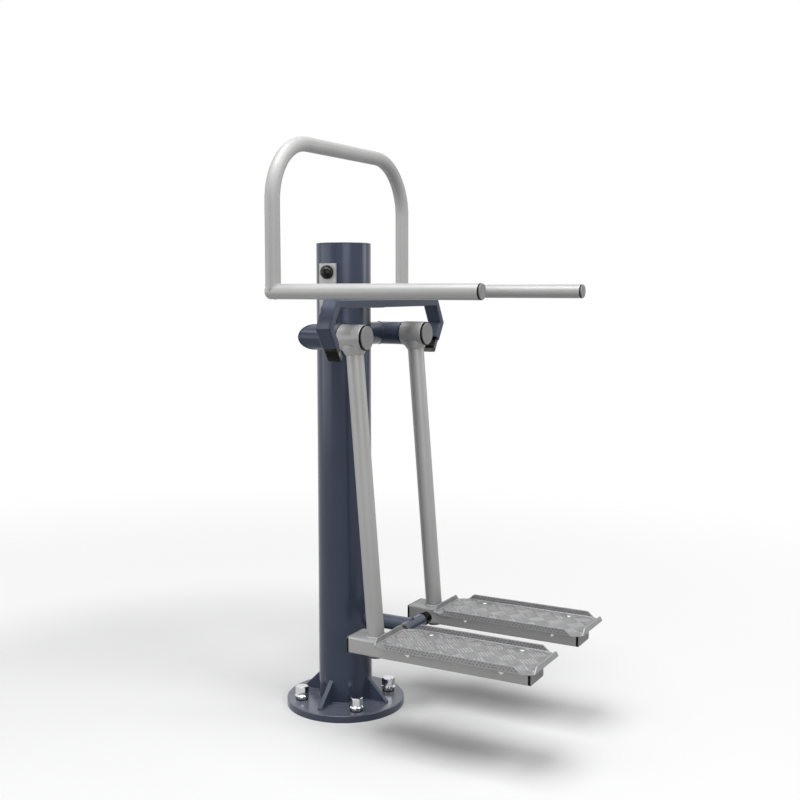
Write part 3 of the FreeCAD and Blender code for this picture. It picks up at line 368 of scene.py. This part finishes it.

# The wear setting gives how pale the coats' edges get: partly wear, partly a painted edge highlight.
DARK_COAT = {"metallic": 0.0, "wear_and_edge_highlight": 0.25, "tint": (0.86, 0.93, 1.0)}
PALE_COAT = {"metallic": 0.22, "wear_and_edge_highlight": 0.2, "specular": 0.2}
RECIPES = {  # maker, colour and settings of each finish
    "post_coat": (powder_coat, SLATE, {**DARK_COAT, "shine": 0.21, "specular": 0.27}),
    "bracket_coat": (powder_coat, SLATE, {**DARK_COAT, "shine": 0.21, "specular": 0.18, "rounding": 0.0038}),
    "flange_coat": (powder_coat, SLATE, {**DARK_COAT, "shine": 0.24, "specular": 0.5}),
    "frame_coat": (powder_coat, SILVER, {**PALE_COAT, "shine": 0.41}),
    "hoop_coat": (powder_coat, SILVER, {**PALE_COAT, "shine": 0.51}),
    "end_cap_grey": (cap_plate, (0.24, 0.24, 0.242), {}),
    "tread_metal": (tread_aluminium, (0.31, 0.31, 0.315), {"shine": 0.42, "polish_and_highlight": 0.35}),
    # Paler aluminium for alternate groups of bars: a painted highlight, a lit copy of the tread metal.
    "tread_bar": (tread_aluminium, (0.54, 0.54, 0.545), {"shine": 0.34, "polish_and_highlight": 0.5}),
    # Near-black aluminium for the lip studs: painted shade that makes dark dots of shadow at the studs.
    "tread_stud": (tread_aluminium, (0.11, 0.11, 0.112), {"shine": 0.5, "polish_and_highlight": 0.1}),
    "black_rubber": (rubber, BLACK, {}),
    "seal_rubber": (rubber, BLACK, {"dust": 0.85}),
    # Lighter rubber for the plug's side towards -Y: a painted sheen where that face is lit.
    "rubbed_rubber": (rubber, (0.04, 0.04, 0.041), {"specular": 0.4}),
    # Paler grey rubber for the plug's end face.
    "struck_rubber": (rubber, (0.17, 0.17, 0.171), {"specular": 0.4}),
    "black_plastic": (gloss_plastic, (0.006, 0.006, 0.007), {}),
    "bright_nut": (plated, (0.74, 0.74, 0.75), {"low": 0.03, "high": 0.09}),
    "zinc_steel": (plated, (0.56, 0.56, 0.56), {"low": 0.22, "high": 0.36}),
}
NODE_FINISH = {  # nodes whose finish isn't named like their slot
    "outer_stop_bracket": "bracket_coat", "base_flange": "flange_coat", "handle_hoop": "hoop_coat",
    "left_beam_seals": "seal_rubber", "right_beam_seals": "seal_rubber",
}
materials = {name: make(name, color, **settings) for name, (make, color, settings) in RECIPES.items()}


def dress_nodes():
    for part in frame["record"]["subparts"]:
        mesh = frame["nodes"][part["node"]].data
        mesh.materials.clear()
        mesh.materials.append(materials[NODE_FINISH.get(part["node"], part["material_slot"])])


def new_piece(name, mesh, body, slot, *finishes):
    """Turn a finished bmesh into a smooth piece that rides on a body."""
    bmesh.ops.recalc_face_normals(mesh, faces=mesh.faces)
    data = bpy.data.meshes.new(name)
    mesh.to_mesh(data)
    mesh.free()
    for face in data.polygons:
        face.use_smooth = True
    for finish in finishes or (slot,):
        data.materials.append(materials[finish])
    made = bpy.data.objects.new(name, data)
    bpy.context.scene.collection.objects.link(made)
    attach(made, body)
    return made


def middle(node):
    low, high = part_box(node)
    return (low + high) / 2


def half(node):
    low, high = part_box(node)
    return (high - low) / 2


def turns(count):
    """The angles of equal steps once around."""
    return [2 * math.pi * step / count for step in range(count)]


def stack(mesh, loops, closed=False):
    """Skin a row of vertex loops, and cap both ends unless the row closes on itself."""
    rings = [[mesh.verts.new(point) for point in loop] for loop in loops]
    pairs = list(zip(rings, rings[1:])) + ([(rings[-1], rings[0])] if closed else [])
    faces = [] if closed else [mesh.faces.new(rings[0][::-1]), mesh.faces.new(rings[-1])]
    for first, second in pairs:
        for step, corner in enumerate(first):
            after = (step + 1) % len(first)
            faces.append(mesh.faces.new((corner, first[after], second[after], second[step])))
    return faces


def rounded_rectangle(half_x, half_y, corner):
    """Points around a rectangle whose corners are quarter circles."""
    corner = min(corner, half_x - 0.0002)
    points = []
    for quarter, (sx, sy) in enumerate(((1, 1), (-1, 1), (-1, -1), (1, -1))):
        for step in range(7):
            turn = math.pi / 2 * (quarter + step / 6)
            x = sx * (half_x - corner) + corner * math.cos(turn)
            points.append((x, sy * (half_y - corner) + corner * math.sin(turn)))
    return points


def bead(mesh, path, radius, closed=True):
    """A weld bead along a path: a round seam with the ripple of a hand-laid weld."""
    count = len(path)
    waves = max(1, round(count * WELD_STEP / WELD_RIPPLE))
    loops = []
    for step, point in enumerate(path):
        before = path[step - 1] if closed or step else point
        after = path[(step + 1) % count] if closed or step < count - 1 else point
        along = (after - before).normalized()
        upright = abs(along.z) > 0.95
        side = (along.orthogonal() if upright else along.cross(Vector((0, 0, 1)))).normalized()
        up = side.cross(along)
        swell = radius * (1 + WELD_SWELL * math.sin(2 * math.pi * waves * step / count))
        loops.append([point + swell * (math.cos(t) * side + math.sin(t) * up) for t in turns(BEAD_SIDES)])
    stack(mesh, loops, closed)


def ring_path(point_at, length):
    """Points about one weld step apart on a closed curve of a known length."""
    count = max(24, round(length / WELD_STEP))
    return [Vector(point_at(t)) for t in turns(count)]


def line_path(start, end):
    start, end = Vector(start), Vector(end)
    count = max(2, round((end - start).length / WELD_STEP))
    return [start.lerp(end, step / count) for step in range(count + 1)]


def ring_bead(mesh, seam, point_at):
    """One of the closed seams listed at the top."""
    length, radius = RING_SEAMS[seam]
    bead(mesh, ring_path(point_at, length), radius)


def post_welds():
    """Seams of the dark frame: post foot, ribs, pivot carrier and both stops."""
    mesh = bmesh.new()
    radius = half("post_tube").x
    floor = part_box("base_flange")[1].z

    def foot(t):
        return radius * math.cos(t), radius * math.sin(t), floor

    bead(mesh, ring_path(foot, 2 * math.pi * radius), POST_FOOT_BEAD)
    rib_welds(mesh, radius, floor)
    carrier_welds(mesh, radius)
    stop_welds(mesh, radius)
    new_piece("post_welds", mesh, "frame", "post_coat")


def rib_welds(mesh, post, floor):
    """Seams on both sides of each rib, along the flange and up the post."""
    reach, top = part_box("base_gussets")[1].x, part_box("base_gussets")[1].z
    for quarter in range(4):
        turn = Matrix.Rotation(math.pi / 2 * quarter, 3, "Z")
        for side in (-1, 1):
            y = side * (RIB_HALF + RIB_BEAD_OUT)
            root = math.sqrt(post ** 2 - y ** 2)
            for end in ((reach - RIB_BEAD_STOP, y, floor), (root, y, top - RIB_BEAD_STOP)):
                path = line_path((root, y, floor), end)
                bead(mesh, [turn @ point for point in path], RIB_BEAD, False)


def carrier_welds(mesh, post):
    """Saddle seams where the cross tube leaves the post, and the mitres at its ends."""
    middle_y, z = middle("pivot_cross_tube").y, middle("pivot_cross_tube").z
    tube, corner = half("pivot_cross_tube").z, abs(middle("left_pivot_stub").x)

    def saddle(t, sign):
        y = middle_y + tube * math.cos(t)
        return sign * math.sqrt(post ** 2 - y ** 2), y, z + tube * math.sin(t)

    def mitre(t, sign):
        across = tube * math.cos(t)
        return sign * (corner + across), middle_y + across, z + tube * math.sin(t)

    for sign in SIDES.values():
        ring_bead(mesh, "cross_tube", lambda t: saddle(t, sign))
        ring_bead(mesh, "mitre", lambda t: mitre(t, sign))


def stop_welds(mesh, post):
    """Seams of the two stop frames on the post and on their cross pieces."""
    tube, z = half("inner_stop_stem").x, middle("inner_stop_stem").z
    bar, bar_y = half("inner_stop_bar").z, middle("inner_stop_bar").y

    def stem(t):
        x = tube * math.cos(t)
        return x, -math.sqrt(post ** 2 - x ** 2), z + tube * math.sin(t)

    def saddle(t):
        rise = tube * math.sin(t)
        return tube * math.cos(t), bar_y + math.sqrt(max(0, bar ** 2 - rise ** 2)), z + rise

    ring_bead(mesh, "inner_stem", stem)
    ring_bead(mesh, "inner_bar", saddle)
    low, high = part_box("outer_stop_stem")
    steps = [low.x + (high.x - low.x) * step / STOP_ARC_STEPS for step in range(STOP_ARC_STEPS + 1)]
    for height in (low.z, high.z):
        arc = [Vector((x, -math.sqrt(post ** 2 - x ** 2), height)) for x in steps]
        bead(mesh, arc, STOP_ROOT_BEAD, False)
        bead(mesh, line_path((low.x, low.y, height), (high.x, low.y, height)), STOP_END_BEAD, False)
    for x in (low.x, high.x):
        root = -math.sqrt(post ** 2 - x ** 2)
        bead(mesh, line_path((x, root, low.z), (x, root, high.z)), STOP_ROOT_BEAD, False)
        bead(mesh, line_path((x, low.y, low.z), (x, low.y, high.z)), STOP_END_BEAD, False)


def handle_welds():
    """Seams of the pale handle frame: hoop legs and stubs on the bars, stubs on the plates."""
    mesh = bmesh.new()
    bar, x, z = half("left_handlebar").x, abs(middle("left_handlebar").x), middle("left_handlebar").z
    stub, plate = half("left_handle_stub").z, abs(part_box("left_mount_plate")[0].x)

    def leg(t, sign):
        return sign * (x + bar * math.cos(t)), bar * math.sin(t), z + bar * abs(math.sin(t))

    def root(t, sign):
        y, rise = stub * math.cos(t), stub * math.sin(t)
        onto_leg = math.sqrt(bar ** 2 - y ** 2) if rise > 0 else 0
        return sign * (x - max(onto_leg, math.sqrt(bar ** 2 - rise ** 2))), y, z + rise

    def foot(t, sign):
        return sign * plate, stub * math.cos(t), z + stub * math.sin(t)

    for sign in SIDES.values():
        ring_bead(mesh, "hoop_leg", lambda t: leg(t, sign))
        ring_bead(mesh, "stub_root", lambda t: root(t, sign))
        ring_bead(mesh, "stub_foot", lambda t: foot(t, sign))
    new_piece("handle_welds", mesh, "frame", "frame_coat")


def arm_welds(side):
    """Seams of one arm, over and under the beam that it goes through, and the skin of its neck."""
    mesh = bmesh.new()
    x = middle(f"{side}_hub_sleeve").x
    z = middle(f"{side}_hub_sleeve").z
    low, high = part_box(f"{side}_foot_beam")

    def level(t, height):
        y = -HUB_MIDDLE - (z - height) * math.tan(ARM_LEAN)
        return x + ARM_RADIUS * math.cos(t), y + ARM_RADIUS / math.cos(ARM_LEAN) * math.sin(t), height

    ring_bead(mesh, "arm_over_beam", lambda t: level(t, high.z))
    ring_bead(mesh, "arm_under_beam", lambda t: level(t, low.z))
    neck_skin(mesh, Vector((x, -HUB_MIDDLE, z)), half(f"{side}_hub_sleeve").z)
    new_piece(f"{side}_arm_welds", mesh, f"{side}_arm", "frame_coat")


def neck_section(depth, inset):
    """Outline of the neck's skin at a depth under the hub's middle."""
    for (upper, *first), (lower, *second) in zip(NECK, NECK[1:]):
        if depth <= lower:
            break
    share = min(1, max(0, (depth - upper) / (lower - upper)))
    half_x, half_y = (a + (b - a) * share - inset for a, b in zip(first, second))
    return rounded_rectangle(half_x, half_y, NECK_CORNER)


def neck_skin(mesh, hub, radius):
    """The ground weld that blends the arm's neck into the hub: a thin smooth skin over it."""
    lean = Matrix.Translation(hub) @ Matrix.Rotation(-ARM_LEAN, 4, "X")
    foot = NECK[-1][0]
    tops = []
    for x, y in neck_section(NECK_MOUTH, 0):
        surface = math.sqrt(radius ** 2 - x ** 2) - y * math.sin(ARM_LEAN)
        tops.append(surface / math.cos(ARM_LEAN) - NECK_SINK)
    walls = []
    for inset in (0, NECK_SKIN):
        wall = []
        for share in NECK_LEVELS:
            loop = []
            for step, top in enumerate(tops):
                depth = top + (foot - top) * share
                x, y = neck_section(depth, inset)[step]
                loop.append(lean @ Vector((x, y, -depth)))
            wall.append(loop)
        walls.append(wall)
    stack(mesh, walls[0] + walls[1][::-1], closed=True)


def lens(mesh, centre, along, across, size, finish=0):
    """One raised bar or stud of the tread: an oval that rises to a flat back."""
    normal = along.cross(across)
    length, width, height = size
    loops = []
    for scale, lift in LENS_RINGS:
        loops.append([
            centre + along * (length / 2 * (scale + 1) / 2 * math.cos(t))
            + across * (width / 2 * scale * math.sin(t)) + normal * (height * lift)
            for t in turns(LENS_SIDES)
        ])
    for face in stack(mesh, loops):
        face.material_index = finish


def clipped(centre, along, length, low, high):
    """The part of a bar that lies inside a rectangle, as a new centre and length."""
    start, end = -length / 2, length / 2
    for axis in (0, 1):
        bounds = sorted((edge[axis] - centre[axis]) / along[axis] for edge in (low, high))
        start, end = max(start, bounds[0]), min(end, bounds[1])
    return centre + along * (start + end) / 2, end - start


def tread_floor(mesh, low, high, top, bolts):
    """Five-bar groups over the tray's floor, turned 45 degrees, with the bars of next groups crosswise."""
    centre = Vector(((low.x + high.x) / 2, (low.y + high.y) / 2, top))
    axes = (Vector((1, 1, 0)).normalized(), Vector((-1, 1, 0)).normalized())
    inset = Vector((TREAD_INSET, TREAD_INSET, 0))
    groups = range(-TREAD_REACH, TREAD_REACH + 1)
    for i in groups:
        for j in groups:
            # Alternate groups take the paler bar aluminium, which is a painted highlight; the others match
            # the plate.
            finish = (i + j) % 2
            along, across = (axes[1], -axes[0]) if finish else axes
            cell = centre + axes[0] * (i * TREAD_GROUP) + axes[1] * (j * TREAD_GROUP)
            for bar in range(-2, 3):
                spot = cell + across * (bar * TREAD_GROUP / 5)
                spot, length = clipped(spot, along, BAR_LENGTH, low + inset, high - inset)
                near = min((spot - bolt).length for bolt in bolts)
                if length > BAR_SHORTEST and near > BOLT_GAP + length / 2:
                    lens(mesh, spot, along, across, (length, BAR_WIDTH, BAR_HEIGHT), finish)


def tread_lips(mesh, low, high, top):
    """Two staggered rows of short studs on both faces of the two long lips."""
    length = high.y - low.y - 2 * STUD_MARGIN
    faces = (
        (low.x, -1), (low.x + TREAD_THICKNESS, 1), (high.x, 1), (high.x - TREAD_THICKNESS, -1),
    )
    for x, out in faces:
        for row in range(2):
            height = top + STUD_FIRST + STUD_RISE * row
            for step in range(STUD_COUNT):
                y = low.y + STUD_MARGIN + length * (step + 0.5 * row + 0.25) / STUD_COUNT
                lean = Vector((0, 1, 1 if (step + row) % 2 else -1)).normalized()
                across = Vector((out, 0, 0)).cross(lean)
                lens(mesh, Vector((x, y, height)), lean, across, STUD_SIZE)


def tread_bars(side):
    """The raised bars of one tray's floor, and the studs of its lips."""
    mesh = bmesh.new()
    low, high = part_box(f"{side}_tread_plate")
    top = low.z + TREAD_THICKNESS
    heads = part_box(f"{side}_tread_bolts")
    bolts = [
        Vector((x, y, top))
        for x in (heads[0].x + BOLT_HEAD, heads[1].x - BOLT_HEAD)
        for y in (heads[0].y + BOLT_HEAD, heads[1].y - BOLT_HEAD)
    ]
    tread_floor(mesh, low, high, top, bolts)
    new_piece(f"{side}_tread_bars", mesh, f"{side}_arm", "tread_metal", "tread_bar", "tread_metal")
    # The lip studs are coloured dark, which is painted shade.
    mesh = bmesh.new()
    tread_lips(mesh, low, high, top)
    new_piece(f"{side}_tread_studs", mesh, f"{side}_arm", "tread_metal", "tread_stud")


def outer_bumper(side, sign):
    """A rubber plug in the open end of the outer stop, cut parallel to the arm where the arm meets it."""
    mesh = bmesh.new()
    seat = Matrix.Translation((sign * BRACKET_END.x, BRACKET_END.y, BRACKET_END.z))
    leg = seat @ Matrix.Rotation(sign * BRACKET_LEAN, 4, "Y")
    loops = []
    for depth, inset in PLUG:
        slope = PLUG_CUT if depth > 0 else 0
        loops.append([
            leg @ Vector((x, y, -depth - slope * (sign * x - PLUG_X)))
            for x, y in rounded_rectangle(PLUG_X - inset, PLUG_Y - inset, PLUG_CORNER)
        ])
    for face in stack(mesh, loops):
        spot = leg.inverted() @ face.calc_center_median()
        end = spot.z + PLUG_CUT * (sign * spot.x - PLUG_X)
        # The end faces take the paler grey rubber. The faces towards -Y take the lighter rubber, a painted
        # sheen of the lit side. The rest stays black.
        face.material_index = 2 if end < PLUG_STRUCK else int(spot.y < PLUG_SHEEN_SIDE)
    finishes = ("black_rubber", "rubbed_rubber", "struck_rubber")
    made = new_piece(f"{side}_outer_buffer", mesh, "frame", "black_rubber", *finishes)
    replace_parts(made, f"{side}_outer_bumper")


def inner_bumper(side, sign):
    """A rubber cap drawn over the end of the inner stop's bar, with a rounded rim."""
    mesh = bmesh.new()
    seat = middle("inner_stop_bar") + Vector((sign * half("inner_stop_bar").x, 0, 0))
    loops = []
    for depth, radius in CAP:
        loops.append([
            seat + Vector((sign * depth, radius * math.cos(t), radius * math.sin(t)))
            for t in turns(CAP_SIDES)
        ])
    stack(mesh, loops)
    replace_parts(new_piece(f"{side}_inner_buffer", mesh, "frame", "black_rubber"), f"{side}_inner_bumper")


def set_camera():
    camera = bpy.data.cameras.new("photo_camera")
    camera.sensor_width = CAMERA_SENSOR
    camera.lens = CAMERA_LENS
    rig = bpy.data.objects.new("photo_camera", camera)
    rig.location = CAMERA_PLACE
    rig.rotation_euler = (math.radians(90 - CAMERA_DOWN), 0, math.radians(CAMERA_TURN))
    bpy.context.scene.collection.objects.link(rig)
    bpy.context.scene.camera = rig


def seen_directly(tree):
    """1 for rays that show the background: straight, mirrored or passed on."""
    path = tree.nodes.new("ShaderNodeLightPath")
    seen = path.outputs["Is Camera Ray"]
    for name in ("Is Glossy Ray", "Is Transmission Ray"):
        larger = tree.nodes.new("ShaderNodeMath")
        larger.operation = "MAXIMUM"
        tree.links.new(seen, larger.inputs[0])
        tree.links.new(path.outputs[name], larger.inputs[1])
        seen = larger.outputs["Value"]
    return seen


def floor_material():
    """A pale matt floor that fades to white with distance, and throws back less light than it shows."""
    surface = Surface("floor_white")
    tree = surface.tree
    seen = seen_directly(tree)
    surface.fixed(Roughness=0.75)
    surface.shader.inputs["Base Color"].default_value = FLOOR_SHOWN
    dim = surface.node("ShaderNodeBsdfDiffuse")
    dim.inputs["Color"].default_value = FLOOR_BOUNCE
    near = surface.node("ShaderNodeMixShader")
    surface.link(seen, near.inputs["Fac"])
    surface.link(dim.outputs["BSDF"], near.inputs[1])
    surface.link(surface.shader.outputs["BSDF"], near.inputs[2])
    distance = surface.node("ShaderNodeVectorMath", operation="DISTANCE")
    surface.link(surface.place, distance.inputs[0])
    distance.inputs[1].default_value = FADE_MIDDLE
    fades = []
    for start, end, share in FADES:
        fade = surface.node("ShaderNodeMapRange", interpolation_type="SMOOTHSTEP")
        for key, number in (("From Min", start), ("From Max", end), ("To Max", share)):
            fade.inputs[key].default_value = number
        surface.link(distance.outputs["Value"], fade.inputs["Value"])
        fades.append(fade.outputs["Result"])
    white = surface.node("ShaderNodeEmission")
    blend = surface.node("ShaderNodeMixShader")
    surface.link(surface.math("MULTIPLY", surface.math("ADD", *fades), seen), blend.inputs["Fac"])
    surface.link(near.outputs["Shader"], blend.inputs[1])
    surface.link(white.outputs["Emission"], blend.inputs[2])
    surface.link(blend.outputs["Shader"], tree.nodes["Material Output"].inputs["Surface"])
    return surface.material


def set_stage():
    mesh = bpy.data.meshes.new("floor")
    corners = [(x * FLOOR_HALF, y * FLOOR_HALF, 0) for x, y in ((-1, -1), (1, -1), (1, 1), (-1, 1))]
    mesh.from_pydata(corners, [], [(0, 1, 2, 3)])
    floor = bpy.data.objects.new("floor", mesh)
    bpy.context.scene.collection.objects.link(floor)
    mesh.materials.append(floor_material())
    world = bpy.data.worlds.new("studio")
    bpy.context.scene.world = world
    world.use_nodes = True
    tree = world.node_tree
    sky = tree.nodes["Background"]
    sky.inputs["Color"].default_value = (1, 1, 1, 1)
    level = tree.nodes.new("ShaderNodeMapRange")
    level.inputs["To Min"].default_value = SKY_LIGHT
    level.inputs["To Max"].default_value = SKY_SHOWN
    tree.links.new(seen_directly(tree), level.inputs["Value"])
    tree.links.new(level.outputs["Result"], sky.inputs["Strength"])


def softbox(name, azimuth, distance, height, size, energy):
    """A rectangular lamp that faces the object."""
    light = bpy.data.lights.new(name, "AREA")
    light.shape = "RECTANGLE"
    light.size, light.size_y = size
    light.energy = energy
    lamp = bpy.data.objects.new(name, light)
    angle = math.radians(azimuth)
    lamp.location = (distance * math.cos(angle), distance * math.sin(angle), height)
    lamp.rotation_euler = (LAMP_TARGET - lamp.location).to_track_quat("-Z", "Y").to_euler()
    bpy.context.scene.collection.objects.link(lamp)


dress_nodes()
post_welds()
handle_welds()
for side, sign in SIDES.items():
    outer_bumper(side, sign)
    inner_bumper(side, sign)
    arm_welds(side)
    tread_bars(side)
set_camera()
set_stage()
for lamp_settings in LAMPS:
    softbox(*lamp_settings)

bpy.context.scene.view_settings.view_transform = "Standard"
